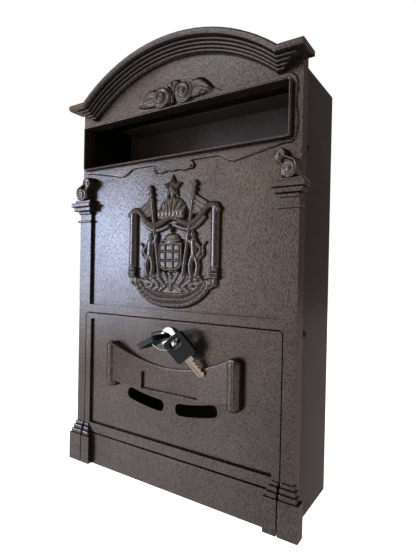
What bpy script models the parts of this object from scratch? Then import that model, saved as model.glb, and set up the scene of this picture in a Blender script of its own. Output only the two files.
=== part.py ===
"""Wall mounted mailbox with a cast classical front, a drop-down lower door and a cam lock.

Frame: +X to the viewer's right, +Y into the wall, +Z up. The wall face is y = 0 and the origin
is the middle of the back. Every size below is in millimetres. A height "proud" is measured
from the front plane of the casting towards the viewer.
"""
import math

import bmesh
import bpy
from mathutils import Matrix, Vector

MM = 0.001

# Driving dimensions
BOX_HALF_WIDTH = 119.5
BOX_HALF_HEIGHT = 182.5
FRONT_DEPTH = 80.0
FRAME_HALF_WIDTH = 121.5
ARCH_RADIUS = 169.6
ARCH_CENTRE_Z = 56.7

# Clearances
GAP = 0.3
DOOR_GAP = 1.0
SCREW_CLEARANCE = 0.3

# Sheet metal box
SHEET = 1.0
CORNER_RADIUS = 3.0
BACK_LIP = 12.0
TOP_LIP = 28.0
WALL_HOLE_RADIUS = 3.0
WALL_HOLE_X = 80.0
WALL_HOLE_Z = 100.0

# Front casting
RIM_BACK = -10.0
RIM_WALL = 3.0
PLATE_THICKNESS = 3.0
BORDER_PROUD = 3.2
SLAB_PROUD = 17.0
SLAB_THICKNESS = 6.0
SLAB_WEB = 4.0
REED_DEPTHS = (7.1, 9.3, 11.4, 13.3)
REED_PROUD = (12.0, 9.4, 6.9, 4.6)
REED_RADIUS = 1.0
CORNICE_WIDTH = 15.1
MITRE_OUTER = (106.5, 188.7)
MITRE_INNER = (101.2, 174.6)
EAR_TOP_Z = 189.0
EAR_END_X = 126.5
EAR_START_X = 96.0
MITRE_TRIM_Z = (150.0, 240.0)
FRAME_BOTTOM_Z = -182.3
RAIL_TOP_Z = -17.5
RAIL_BOTTOM_Z = -25.5
STRIKE_BACK = -14.0
STRIKE_BOTTOM_Z = -20.5
RAIL_HALF_WIDTH = 106.5
LUG_INNER_X = 111.6
LUG_BACK = -23.5
LUG_HALF_HEIGHT = 6.0

# Mail slot
SLOT_HALF_WIDTH = 112.5
SLOT_BOTTOM_Z = 123.5
SLOT_TOP_Z = 165.0
COLLAR_WALL = 2.0
COLLAR_PROUD = 7.0
PLAQUE_PROUD = 1.6

# Door
DOOR_HALF_WIDTH = 110.0
DOOR_TOP_Z = -26.7
DOOR_BACK = -8.0
DOOR_PANEL_PROUD = 0.5
DOOR_PANEL_BACK = -2.5
DOOR_GROOVE_PROUD = -0.8
HINGE_Z = -178.0
HINGE_PIN_RADIUS = 1.5
HINGE_PIN_ENDS = (100.3, 124.3)
FOOT_PROUD = 8.2
FOOT_INNER_X = 98.6
FOOT_OUTER_X = 127.6
FOOT_TOP_Z = -154.3

# Lock and keys
LOCK_Z = -42.5
LOCK_FACE_RADIUS = 10.0
LOCK_BARREL_RADIUS = 8.0
PLUG_RADIUS = 6.0
KEY_ROLL = math.radians(28.0)
KEY_HEAD_WIDTH = 21.0
KEY_HEAD_LENGTH = 23.0
KEY_HEAD_THICKNESS = 4.6
KEY_BLADE_WIDTH = 8.0
KEY_BLADE_THICKNESS = 2.0
KEY_HOLE_RADIUS = 4.0
KEY_HOLE_HALF_WIDTH = 6.2
KEY_HOLE_OFFSET = 6.6
KEY_BOW_PROUD = 35.3
SPARE_BOW = (13.85, 17.1, -38.6)
SPARE_ALONG = (24.0, 11.2, -30.0)
SPARE_FACING = (0.25, -0.96, -0.16)
RING_RADIUS = 10.9
RING_WIRE_RADIUS = 0.6
RING_CENTRE = (6.6, 19.9, -42.0)
RING_NORMAL = (0.56, -0.27, 0.78)

# Fixings
SIDE_SCREW_BEHIND_FRONT = 17.5
SIDE_SCREW_Y = SIDE_SCREW_BEHIND_FRONT - FRONT_DEPTH
SCREW_RADIUS = 2.0
STUD_RADIUS = 2.0
RIVET_RADIUS = 1.5
SIDE_SCREW_HEIGHTS = (117.5, -30.0)
CREST_STUD_HEIGHTS = (70.0, 26.0)
BANNER_RIVET_X = 69.3
BANNER_RIVET_Z = -74.0

BRONZE = (0.075, 0.060, 0.052, 1.0)
CHROME = (0.78, 0.78, 0.80, 1.0)
ZINC = (0.55, 0.56, 0.58, 1.0)
BLACK_PLASTIC = (0.012, 0.012, 0.014, 1.0)
NICKEL_BRASS = (0.55, 0.46, 0.36, 1.0)


def clear_scene():
    for item in list(bpy.data.objects):
        bpy.data.objects.remove(item, do_unlink=True)


def make_collection(name):
    group = bpy.data.collections.new(name)
    bpy.context.scene.collection.children.link(group)
    return group


def material(name, colour, roughness, metallic):
    """A material of one Principled shader."""
    made = bpy.data.materials.new(name)
    made.use_nodes = True
    shader = made.node_tree.nodes["Principled BSDF"]
    shader.inputs["Base Color"].default_value = colour
    shader.inputs["Roughness"].default_value = roughness
    shader.inputs["Metallic"].default_value = metallic
    return made


def new_object(name, mesh, group):
    made = bpy.data.objects.new(name, mesh)
    group.objects.link(made)
    return made


def bake(source):
    """Turn a curve or a modified object into a welded mesh with its transform applied."""
    bpy.context.view_layer.update()
    evaluated = source.evaluated_get(bpy.context.evaluated_depsgraph_get())
    mesh = bpy.data.meshes.new_from_object(evaluated)
    mesh.transform(source.matrix_world)
    body = bmesh.new()
    body.from_mesh(mesh)
    bmesh.ops.remove_doubles(body, verts=body.verts, dist=1e-6)
    bmesh.ops.recalc_face_normals(body, faces=body.faces)
    body.to_mesh(mesh)
    body.free()
    made = new_object(source.name, mesh, CUTTERS)
    bpy.data.objects.remove(source, do_unlink=True)
    return made


def prism(points, proud_front, proud_back, smooth=False, name="prism"):
    """Extrude an outline of (x, z) points between two heights proud of the casting."""
    curve = bpy.data.curves.new(name, "CURVE")
    curve.dimensions = "2D"
    curve.fill_mode = "BOTH"
    curve.extrude = (proud_front - proud_back) / 2 * MM
    if smooth:
        spline = curve.splines.new("BEZIER")
        spline.bezier_points.add(len(points) - 1)
        spline.resolution_u = 4
        for knot, (x, z) in zip(spline.bezier_points, points):
            knot.co = (x * MM, z * MM, 0)
            knot.handle_left_type = "AUTO"
            knot.handle_right_type = "AUTO"
    else:
        spline = curve.splines.new("POLY")
        spline.points.add(len(points) - 1)
        for knot, (x, z) in zip(spline.points, points):
            knot.co = (x * MM, z * MM, 0, 1)
    spline.use_cyclic_u = True
    made = new_object(name, curve, CUTTERS)
    made.rotation_euler = (math.pi / 2, 0, 0)
    made.location = (0, -(FRONT_DEPTH + (proud_front + proud_back) / 2) * MM, 0)
    return bake(made)


def block(x0, x1, proud0, proud1, z0, z1):
    """A box between two values of x, of proud height and of z."""
    low = Vector((x0, -(FRONT_DEPTH + max(proud0, proud1)), z0)) * MM
    high = Vector((x1, -(FRONT_DEPTH + min(proud0, proud1)), z1)) * MM
    body = bmesh.new()
    bmesh.ops.create_cube(body, size=1.0)
    size = high - low
    bmesh.ops.transform(body, verts=body.verts, matrix=Matrix.Diagonal((*size, 1)))
    bmesh.ops.translate(body, verts=body.verts, vec=(high + low) / 2)
    mesh = bpy.data.meshes.new("block")
    body.to_mesh(mesh)
    body.free()
    return new_object("block", mesh, CUTTERS)


def turned(profile, steps, centre, direction, closed=False, name="turned"):
    """Turn (radius, height) points about an axis through centre along direction."""
    mesh = bpy.data.meshes.new(name)
    links = [(i, i + 1) for i in range(len(profile) - 1)]
    if closed:
        links.append((len(profile) - 1, 0))
    mesh.from_pydata([(r * MM, 0, h * MM) for r, h in profile], links, [])
    made = new_object(name, mesh, CUTTERS)
    spin = made.modifiers.new("Turn", "SCREW")
    spin.angle = math.tau
    spin.steps = steps
    spin.render_steps = steps
    spin.axis = "Z"
    spin.use_merge_vertices = True
    spin.merge_threshold = 1e-5
    made.rotation_mode = "QUATERNION"
    made.rotation_quaternion = Vector(direction).to_track_quat("Z", "Y")
    made.location = Vector(centre) * MM
    return bake(made)


def cylinder(radius, centre, direction, start, end, steps=24, name="cylinder"):
    """A plain round bar along direction, from start to end measured from centre."""
    return turned([(0, end), (radius, end), (radius, start), (0, start)],
                  steps, centre, direction, name=name)


def boolean(target, tools, operation):
    """Join tools to the target, or cut them out of it."""
    for tool in tools:
        tool.hide_render = True
        tool.display_type = "WIRE"
        step = target.modifiers.new(operation.title(), "BOOLEAN")
        step.operation = operation
        step.solver = "EXACT"
        step.object = tool
    return target


def join(target, *tools):
    return boolean(target, tools, "UNION")


def cut(target, *tools):
    return boolean(target, tools, "DIFFERENCE")


def with_twins(*tools):
    """The tools and their reflections in the plane x = 0."""
    made = list(tools)
    for tool in tools:
        mesh = tool.data.copy()
        mesh.transform(Matrix.Diagonal((-1, 1, 1, 1)))
        mesh.flip_normals()
        made.append(new_object(tool.name, mesh, CUTTERS))
    return made


def both_sides(points):
    """Whole outline from its +X half, given from one end of the centre line to the other."""
    return points + [(-x, z) for x, z in reversed(points) if x > 0]


def finish(part, name, surface, origin=(0, 0, 0)):
    """Name a part, give it its material and origin, and move it to the model's collection."""
    part.name = name
    part.data.name = name
    part.hide_render = False
    part.display_type = "TEXTURED"
    offset = Vector(origin) * MM
    part.data.transform(Matrix.Translation(-offset))
    part.location = offset
    part.data.materials.clear()
    part.data.materials.append(surface)
    part.data.shade_smooth()
    part.data.set_sharp_from_angle(angle=math.radians(35))
    CUTTERS.objects.unlink(part)
    MODEL.objects.link(part)
    return part


def fasten(child, parent):
    """Parent child to parent and leave it where it is."""
    bpy.context.view_layer.update()
    child.parent = parent
    child.matrix_parent_inverse = parent.matrix_world.inverted()


def arc(centre_x, centre_z, radius, start, end, count):
    """Points of a circular arc, angles in degrees from +X towards +Z."""
    angles = [math.radians(start + (end - start) * i / count) for i in range(count + 1)]
    return [(centre_x + radius * math.cos(a), centre_z + radius * math.sin(a)) for a in angles]


def rounded_rectangle(x0, x1, z0, z1, radius, count=4):
    return (arc(x1 - radius, z0 + radius, radius, -90, 0, count)
            + arc(x1 - radius, z1 - radius, radius, 0, 90, count)
            + arc(x0 + radius, z1 - radius, radius, 90, 180, count)
            + arc(x0 + radius, z0 + radius, radius, 180, 270, count))


def band(line, width):
    """Outline of a strip of constant width along a line of (x, z) points."""
    left = []
    right = []
    for i, (x, z) in enumerate(line):
        before = Vector(line[max(i - 1, 0)])
        after = Vector(line[min(i + 1, len(line) - 1)])
        along = (after - before).normalized()
        side = Vector((-along.y, along.x)) * width / 2
        left.append((x + side.x, z + side.y))
        right.append((x - side.x, z - side.y))
    return left + right[::-1]


def back_block(x_half, y_front, y_back, z0, z1):
    """A box that is centred on x, given by its distances from the wall."""
    return block(-x_half, x_half, y_front - FRONT_DEPTH, y_back - FRONT_DEPTH, z0, z1)


def make_back_panel(surface):
    """Pan that lies on the wall, with lips that lap inside the shell."""
    half_width = BOX_HALF_WIDTH - SHEET - GAP
    half_height = BOX_HALF_HEIGHT - SHEET - GAP
    outline = rounded_rectangle(-half_width, half_width, -half_height, half_height,
                                CORNER_RADIUS - SHEET - GAP)
    pan = prism(outline, TOP_LIP - FRONT_DEPTH, -FRONT_DEPTH)
    inner_top = half_height - SHEET
    hollow = back_block(half_width - SHEET, TOP_LIP + 5, SHEET, -inner_top, inner_top)
    short = back_block(half_width + 5, TOP_LIP + 5, BACK_LIP, -half_height - 5, inner_top)
    cut(pan, hollow, short)
    for x in (-WALL_HOLE_X, WALL_HOLE_X):
        for z in (-WALL_HOLE_Z, WALL_HOLE_Z):
            cut(pan, cylinder(WALL_HOLE_RADIUS, (x, 0, z), (0, 1, 0), -5, 5, 20))
    return finish(pan, "back_panel", surface)


def make_body_shell(surface):
    """Four-sided sheet metal sleeve between the casting and the wall."""
    front = RIM_BACK - GAP
    back = -FRONT_DEPTH
    outer = rounded_rectangle(-BOX_HALF_WIDTH, BOX_HALF_WIDTH,
                              -BOX_HALF_HEIGHT, BOX_HALF_HEIGHT, CORNER_RADIUS)
    inner = rounded_rectangle(-BOX_HALF_WIDTH + SHEET, BOX_HALF_WIDTH - SHEET,
                              -BOX_HALF_HEIGHT + SHEET, BOX_HALF_HEIGHT - SHEET,
                              CORNER_RADIUS - SHEET)
    shell = prism(outer, front, back)
    cut(shell, prism(inner, front + 5, back - 5))
    for z in SIDE_SCREW_HEIGHTS:
        cut(shell, cylinder(SCREW_RADIUS + SCREW_CLEARANCE, (0, SIDE_SCREW_Y, z), (1, 0, 0),
                            -130, 130, 20))
    return finish(shell, "body_shell", surface)


def cornice_profile():
    """Section of the arch moulding as (distance in from the outer edge, proud height)."""
    nose = SLAB_THICKNESS / 2
    section = [(nose + nose * math.cos(math.radians(a)), SLAB_PROUD - nose
                + nose * math.sin(math.radians(a))) for a in range(180, -1, -36)]
    section.append((SLAB_THICKNESS, REED_PROUD[0] - REED_RADIUS))
    for depth, proud in zip(REED_DEPTHS, REED_PROUD):
        for a in (150, 110, 70, 30):
            section.append((depth + REED_RADIUS * math.cos(math.radians(a)),
                            proud - REED_RADIUS + REED_RADIUS * math.sin(math.radians(a))))
    section += [(CORNICE_WIDTH, REED_PROUD[-1] - 2.4), (CORNICE_WIDTH, -1.5),
                (SLAB_WEB, -1.5), (SLAB_WEB, RIM_BACK), (0, RIM_BACK)]
    return section


def mitre_x(z):
    """x of the joint between arch and ear at a height."""
    slope = (MITRE_OUTER[0] - MITRE_INNER[0]) / (MITRE_OUTER[1] - MITRE_INNER[1])
    return MITRE_OUTER[0] + (z - MITRE_OUTER[1]) * slope


def make_arch():
    """Arched part of the cornice, trimmed at the mitres."""
    ring = [(ARCH_RADIUS - w, h) for w, h in reversed(cornice_profile())]
    arch = turned(ring, 118, (0, -FRONT_DEPTH, ARCH_CENTRE_Z), (0, -1, 0), closed=True)
    overlap = 0.5
    low, high = MITRE_TRIM_Z
    keep = prism(both_sides([(mitre_x(low) + overlap, low), (mitre_x(high) + overlap, high)]),
                 30, -30)
    boolean(arch, [keep], "INTERSECT")
    return bake(arch)


def make_ear():
    """Horizontal return of the cornice over the pilaster."""
    curve = bpy.data.curves.new("ear", "CURVE")
    curve.dimensions = "2D"
    curve.fill_mode = "BOTH"
    curve.extrude = (EAR_END_X - EAR_START_X) / 2 * MM
    spline = curve.splines.new("POLY")
    section = cornice_profile()
    spline.points.add(len(section) - 1)
    for knot, (w, h) in zip(spline.points, section):
        knot.co = (w * MM, h * MM, 0, 1)
    spline.use_cyclic_u = True
    ear = new_object("ear", curve, CUTTERS)
    turn = Matrix(((0, 0, -1), (0, -1, 0), (-1, 0, 0))).to_4x4()
    place = Vector(((EAR_START_X + EAR_END_X) / 2, -FRONT_DEPTH, EAR_TOP_Z)) * MM
    ear.matrix_world = Matrix.Translation(place) @ turn
    ear = bake(ear)
    low, high = MITRE_TRIM_Z
    arch_side = prism([(80, low), (mitre_x(low), low), (mitre_x(high), high), (80, high)], 30, -30)
    reed_ends = prism([(118.6, EAR_TOP_Z - SLAB_THICKNESS - 0.2), (140, 182.8),
                       (140, 165), (104.5, 165), (106.0, 174.0)], 30, -30)
    cut(ear, arch_side, reed_ends)
    return bake(ear)


def slab_moulding(x0, x1, proud, z0, z1):
    """A horizontal moulding with softened front corners, rooted in the plate."""
    edge = min(1.0, (z1 - z0) * 0.3)
    bar = block(x0, x1, proud, -1.5, z0, z1)
    soften = bar.modifiers.new("Soften", "BEVEL")
    soften.width = edge * MM
    soften.segments = 2
    return bake(bar)


def make_pilaster():
    """Shaft, capital mouldings and scroll of the right pilaster."""
    shaft = block(105.7, FRAME_HALF_WIDTH + 0.1, BORDER_PROUD, -2, -150, 76.4)
    pieces = [shaft,
              slab_moulding(104.3, 124.0, 5.2, 68.0, 70.2),
              slab_moulding(105.0, 122.5, 5.2, 76.3, 79.6),
              slab_moulding(101.8, 126.6, 8.3, 79.4, 83.8),
              slab_moulding(100.5, 128.5, 10.4, 83.6, 88.1),
              slab_moulding(102.5, 125.5, 7.4, 87.9, 91.1)]
    forward = (0, -1, 0)
    scroll = [(118.5, 91), (120.6, 98), (118.0, 104), (112.5, 107.2), (109.5, 112), (105.5, 112.6),
              (102.0, 109), (103.5, 104.5), (108.5, 103.2), (108.7, 97), (110.5, 91)]
    pieces.append(prism(scroll, 6.5, -1, smooth=True))
    pieces.append(cylinder(6.0, (114.7, -FRONT_DEPTH, 96.5), forward, -1, 9.0))
    pieces.append(cylinder(4.5, (106.5, -FRONT_DEPTH, 108.0), forward, -1, 8.0))
    return pieces


def foot_blocks(x0, x1):
    """Die and three rolls of one half of a foot, between two values of x."""
    heights = (FOOT_TOP_Z, -150.0, -145.9, -142.4)
    prouds = (7.4, 6.0, 4.6)
    shrink = (1.6, 3.0, 4.4)
    pieces = [block(x0, x1, FOOT_PROUD, -2.0, FRAME_BOTTOM_Z, FOOT_TOP_Z)]
    for low, high, proud, inset in zip(heights, heights[1:], prouds, shrink):
        split_inset = 0.07 * inset
        left = x0 + (inset if x0 == FOOT_INNER_X else split_inset)
        right = x1 - (inset if x1 == FOOT_OUTER_X else split_inset)
        pieces.append(slab_moulding(left, right, proud, low - 0.2, high))
    return pieces


def make_front_frame(surface):
    """Cast front: plate, arched cornice, pilasters, rail and the outer halves of the feet."""
    shoulder = 105.0
    crown = ARCH_RADIUS - SLAB_WEB + 1.0
    rise = math.degrees(math.acos(shoulder / crown))
    shoulder_z = ARCH_CENTRE_Z + crown * math.sin(math.radians(rise))
    outline = [(FRAME_HALF_WIDTH, FRAME_BOTTOM_Z), (FRAME_HALF_WIDTH, shoulder_z),
               (shoulder + 0.1, shoulder_z)]
    outline += arc(0, ARCH_CENTRE_Z, crown, rise, 90, 24)
    frame = prism(both_sides(outline), 0, RIM_BACK, name="front_frame")
    inner_half = FRAME_HALF_WIDTH - RIM_WALL
    lip_z = BOX_HALF_HEIGHT
    pocket = block(-inner_half, inner_half, -PLATE_THICKNESS, RIM_BACK - 5, -200, lip_z - 4)
    arch_inner = ARCH_RADIUS - SLAB_WEB - 0.6
    spread = math.degrees(math.asin((lip_z - ARCH_CENTRE_Z) / arch_inner))
    upper = prism(both_sides(arc(0, ARCH_CENTRE_Z, arch_inner, spread, 90, 24)),
                  -PLATE_THICKNESS, RIM_BACK - 5)
    cut(frame, pocket, upper)
    join(frame, make_arch(), *with_twins(make_ear(), *make_pilaster()))
    join(frame, block(-RAIL_HALF_WIDTH, RAIL_HALF_WIDTH, BORDER_PROUD, -1, RAIL_BOTTOM_Z - 1,
                      RAIL_TOP_Z))
    join(frame, block(-RAIL_HALF_WIDTH, RAIL_HALF_WIDTH, -2, STRIKE_BACK, STRIKE_BOTTOM_Z,
                      RAIL_TOP_Z - GAP))
    join(frame, *with_twins(*foot_blocks(DOOR_HALF_WIDTH + DOOR_GAP, FOOT_OUTER_X)))
    for z in SIDE_SCREW_HEIGHTS:
        lug = block(LUG_INNER_X, BOX_HALF_WIDTH - SHEET - GAP, -2, LUG_BACK,
                    z - LUG_HALF_HEIGHT, z + LUG_HALF_HEIGHT)
        join(frame, *with_twins(lug))
    door_way = DOOR_HALF_WIDTH + DOOR_GAP
    opening = prism(both_sides([(door_way, -200), (door_way, RAIL_BOTTOM_Z - 3),
                                (door_way - 3, RAIL_BOTTOM_Z)]), 30, -9)
    slot_half = SLOT_HALF_WIDTH + COLLAR_WALL + GAP
    slot = prism(rounded_rectangle(-slot_half, slot_half, SLOT_BOTTOM_Z - COLLAR_WALL - GAP,
                                   SLOT_TOP_Z + COLLAR_WALL + GAP, 3.3), 5, -9)
    cut(frame, opening, slot)
    for z in SIDE_SCREW_HEIGHTS:
        bore = cylinder(SCREW_RADIUS + SCREW_CLEARANCE, (0, SIDE_SCREW_Y, z), (1, 0, 0),
                        105, 130, 20)
        cut(frame, *with_twins(bore))
    for z in CREST_STUD_HEIGHTS:
        cut(frame, cylinder(STUD_RADIUS + SCREW_CLEARANCE, (0, -FRONT_DEPTH, z), (0, -1, 0),
                            -9, 9, 20))
    pin_bore = cylinder(HINGE_PIN_RADIUS + GAP, (0, -FRONT_DEPTH, HINGE_Z), (1, 0, 0),
                        100, HINGE_PIN_ENDS[1] + GAP, 20)
    cut(frame, *with_twins(pin_bore))
    return finish(frame, "front_frame", surface)


def plaque_outline():
    """Right half of the shaped plate around the slot, from its foot round to its crown."""
    return [(0, 109.3), (6.7, 110.0), (13.4, 108.5), (19.2, 110.5), (21.5, 116.3),
            (46.9, 117.0), (54.8, 113.6), (63.6, 110.4), (77.4, 113.1), (99.3, 117.2),
            (113.3, 118.6), (118.3, 127.3), (118.4, 140.9), (116.9, 149.0), (118.0, 157.6),
            (117.0, 168.4), (108.0, 172.2), (50.0, 172.4), (44.0, 176.0), (29.0, 186.0),
            (18.0, 189.4), (0, 192.5)]


def make_slot_surround(surface):
    """Collar that lines the mail slot, with its plaque, scrolls and leaves."""
    plaque = prism(both_sides(plaque_outline()), PLAQUE_PROUD, GAP, name="slot_surround")
    outer_half = SLOT_HALF_WIDTH + COLLAR_WALL
    collar = prism(rounded_rectangle(-outer_half, outer_half, SLOT_BOTTOM_Z - COLLAR_WALL,
                                     SLOT_TOP_Z + COLLAR_WALL, 3),
                   COLLAR_PROUD, -PLATE_THICKNESS - 3)
    leaf = prism([(15, 170.2), (30, 170.8), (43, 173), (38, 179), (33, 186), (26, 188),
                  (19, 184), (14, 178)], 4.6, 1, smooth=True)
    palmette = prism([(-9, 176), (9, 176), (11, 183), (6, 188.5), (0, 191), (-6, 188.5),
                      (-11, 183)], 4.2, 1, smooth=True)
    forward = (0, -1, 0)
    volute = cylinder(9.3, (12.5, -FRONT_DEPTH, 177.2), forward, 1, 6.6, 32)
    eye = cylinder(3.6, (12.5, -FRONT_DEPTH, 177.2), forward, 1, 8.4, 20)
    join(plaque, collar, palmette, *with_twins(leaf, volute, eye))
    cut(plaque, prism(rounded_rectangle(-SLOT_HALF_WIDTH, SLOT_HALF_WIDTH, SLOT_BOTTOM_Z,
                                        SLOT_TOP_Z, 1.5), 30, -20))
    return finish(plaque, "slot_surround", surface)


def star(centre_z, outer, inner):
    points = []
    for i in range(10):
        radius = outer if i % 2 == 0 else inner
        angle = math.radians(90 + 36 * i)
        points.append((radius * math.cos(angle), centre_z + radius * math.sin(angle)))
    return points


def make_crest(surface):
    """Heraldic relief that is bolted to the upper panel by two studs."""
    torso = [(13.2, 16), (14.2, 44), (15.2, 46), (15.2, 74), (12, 81), (6, 85.5), (1.5, 87)]
    crest = prism(both_sides(torso), 3.0, -1, name="crest")
    swag = [(-2, 67.6), (2, 67.6), (10, 64), (20, 61), (31, 66), (40, 74.0), (47, 73.5)]
    centre_reliefs = [(star(95.5, 9.5, 4.2), 3.2),
                      (rounded_rectangle(-2.6, 2.6, 83, 94, 1), 2.3),
                      (rounded_rectangle(-15.6, 15.6, 65.5, 74.6, 1.5), 4.4),
                      (rounded_rectangle(-13.5, 13.5, 19.3, 44.4, 4), 4.9),
                      (both_sides([(10, -2), (28, 2), (44, 8), (40, 16), (20, 19)]), 2.7),
                      (both_sides([(6, -13.4), (20, -11.8), (33, -5), (41, 4), (44, 10),
                                   (33, 13), (27, 6), (18, -0.5), (6, -1.6)]), 3.3)]
    side_reliefs = [(band(swag, 6.0), 4.7, False),
                    (rounded_rectangle(42.3, 51.5, 19, 76.5, 3), 4.0, False),
                    (rounded_rectangle(41.8, 52.0, 12.5, 21.5, 2), 5.0, False),
                    (rounded_rectangle(43.8, 50.0, 5.3, 14, 2), 3.6, False),
                    (band([(27.0, 97.5), (14.0, 14.0)], 5.2), 3.5, False),
                    ([(22, 86), (27, 86.2), (41, 78), (31, 69.5), (22, 69)], 2.5, False),
                    ([(17, 12), (31, 10), (34, 26), (31, 40), (29, 54), (22, 54), (19, 38)],
                     3.8, True)]
    root = -1.2
    for outline, proud in centre_reliefs:
        root -= 0.2
        join(crest, prism(outline, proud, root))
    for outline, proud, smooth in side_reliefs:
        root -= 0.2
        join(crest, *with_twins(prism(outline, proud, root, smooth)))
    cut(crest, block(-80, 80, GAP, -6, -40, 120))
    for z in CREST_STUD_HEIGHTS:
        join(crest, cylinder(STUD_RADIUS, (0, -FRONT_DEPTH, z), (0, -1, 0), -9.5, 2, 18))
    return finish(crest, "crest", surface)


def viewing_hole():
    """Curved opening that shows whether there is post inside, on the right of the door."""
    centre_z = 83.0
    near = 184.5
    far = 195.5
    middle = (near + far) / 2
    start = middle * math.radians(2.0)
    end = middle * math.radians(15.7)
    corner = 4.8
    flat = rounded_rectangle(start, end, near, far, corner)
    points = []
    for (u, radius), (next_u, next_radius) in zip(flat, flat[1:] + flat[:1]):
        pieces = 6 if abs(next_u - u) > corner else 1
        for i in range(pieces):
            angle = (u + (next_u - u) * i / pieces) / middle
            points.append((radius * math.sin(angle), centre_z - radius * math.cos(angle)))
    return points


def make_door(surface):
    """Drop-down door with its raised border, plinth and the inner halves of the feet."""
    half = DOOR_HALF_WIDTH
    outline = [(half, FRAME_BOTTOM_Z)] + arc(half - 3, DOOR_TOP_Z - 3, 3, 0, 90, 4)
    door = prism(both_sides(outline), BORDER_PROUD, DOOR_BACK, name="door_panel")
    field = block(-103.3, 103.3, DOOR_PANEL_PROUD, 30, -140.7, DOOR_TOP_Z - 5.3)
    sill = block(-103.3, 103.3, DOOR_GROOVE_PROUD, 30, -140.7, -139.4)
    groove = block(-FOOT_INNER_X - 1, FOOT_INNER_X + 1, 0.4, 30, -151.5, -149.7)
    cut(door, field, sill, groove)
    join(door, *with_twins(*foot_blocks(FOOT_INNER_X, half - 0.1)))
    wall = 2.5
    inside = block(wall - half, half - wall, DOOR_PANEL_BACK, DOOR_BACK - 5,
                   FRAME_BOTTOM_Z + wall, DOOR_TOP_Z - wall)
    forward = (0, -1, 0)
    barrel = cylinder(LOCK_BARREL_RADIUS + GAP, (0, -FRONT_DEPTH, LOCK_Z), forward, -9, 9, 32)
    hole = prism(viewing_hole(), 9, -9)
    rivet = cylinder(RIVET_RADIUS + GAP, (BANNER_RIVET_X, -FRONT_DEPTH, BANNER_RIVET_Z), forward,
                     -9, 9, 16)
    pin = cylinder(HINGE_PIN_RADIUS + GAP, (0, -FRONT_DEPTH, HINGE_Z), (1, 0, 0),
                   HINGE_PIN_ENDS[0] - GAP, 130, 20)
    cut(door, inside, barrel, *with_twins(hole, rivet, pin))
    return finish(door, "door_panel", surface, (0, -FRONT_DEPTH, HINGE_Z))


def make_banner(surface):
    """Curved ribbon for the name card, with a rolled end on each side."""
    outline = [(0, -98.3), (20, -97.6), (40, -96.0), (55, -94.2), (72, -91.5), (73, -56.5),
               (64, -56.0), (50, -59.6), (36, -65.8), (21, -69.3), (0, -70.5)]
    banner = prism(both_sides(outline), 3.7, 2.1, name="name_banner")
    low = -97.0
    high = -52.0
    radius = 6.8
    lobe = 3.0
    profile = [(0, high), (lobe, high - 0.6), (radius - 1.2, high - 2.6), (radius, high - 5.5),
               (radius, low + 5.5), (radius - 1.2, low + 2.6), (lobe, low + 0.6), (0, low)]
    roll_x = 69.3
    roll = turned(profile, 20, (roll_x, -FRONT_DEPTH - 1.6, 0), (0, 0, 1))
    cut(roll, block(40, 90, DOOR_PANEL_PROUD + GAP, -20, -110, -40))
    roll = bake(roll)
    join(banner, *with_twins(roll))
    bore = cylinder(RIVET_RADIUS + GAP, (BANNER_RIVET_X, -FRONT_DEPTH, BANNER_RIVET_Z),
                    (0, -1, 0), -9, 4.3, 16)
    cut(banner, block(-31.7, 31.7, 2.9, 9, -93.2, -77.0), *with_twins(bore))
    return finish(banner, "name_banner", surface, (0, -FRONT_DEPTH, HINGE_Z))


def make_hinge_pins(surface):
    for side, sign in (("left", -1), ("right", 1)):
        pin = cylinder(HINGE_PIN_RADIUS, (0, -FRONT_DEPTH, HINGE_Z), (sign, 0, 0),
                       *HINGE_PIN_ENDS, 20)
        finish(pin, "hinge_pin_" + side, surface, (0, -FRONT_DEPTH, HINGE_Z))


def domed_screw(head_radius, head_height, shank_radius, shank_length):
    """Profile of a pan head screw whose head sits on height 0 and points up."""
    return [(0, head_height), (head_radius * 0.55, head_height * 0.92),
            (head_radius * 0.87, head_height * 0.6), (head_radius, 0), (shank_radius, 0),
            (shank_radius, -shank_length), (0, -shank_length)]


def make_side_screws(surface):
    """Four screws that hold the shell to lugs on the casting."""
    for side, sign in (("left", -1), ("right", 1)):
        for level, z in zip(("upper", "lower"), SIDE_SCREW_HEIGHTS):
            seat = ((BOX_HALF_WIDTH + GAP) * sign, SIDE_SCREW_Y, z)
            screw = turned(domed_screw(2.9, 1.8, SCREW_RADIUS, 7.0), 20, seat, (sign, 0, 0))
            finish(screw, "side_screw_%s_%s" % (side, level), surface)


def make_hex_nut(across_flats, bore_radius, centre, start, end):
    """Hexagon nut along -Y."""
    nut = cylinder(across_flats / 2 / math.cos(math.pi / 6), centre, (0, -1, 0), start, end, 6)
    cut(nut, cylinder(bore_radius, centre, (0, -1, 0), start - 5, end + 5, 24))
    return nut


def make_crest_nuts(surface):
    for level, z in zip(("upper", "lower"), CREST_STUD_HEIGHTS):
        nut = make_hex_nut(7.0, STUD_RADIUS + GAP, (0, -FRONT_DEPTH, z), -6.3, -3.3)
        finish(nut, "crest_nut_" + level, surface)


def make_banner_rivets(surface, door):
    for side, sign in (("left", -1), ("right", 1)):
        seat = (BANNER_RIVET_X * sign, -FRONT_DEPTH + 2.5 + GAP, BANNER_RIVET_Z)
        rivet = turned(domed_screw(3.0, 1.4, RIVET_RADIUS, 6.6), 16, seat, (0, 1, 0))
        finish(rivet, "banner_rivet_" + side, surface)
        fasten(rivet, door)


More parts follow.
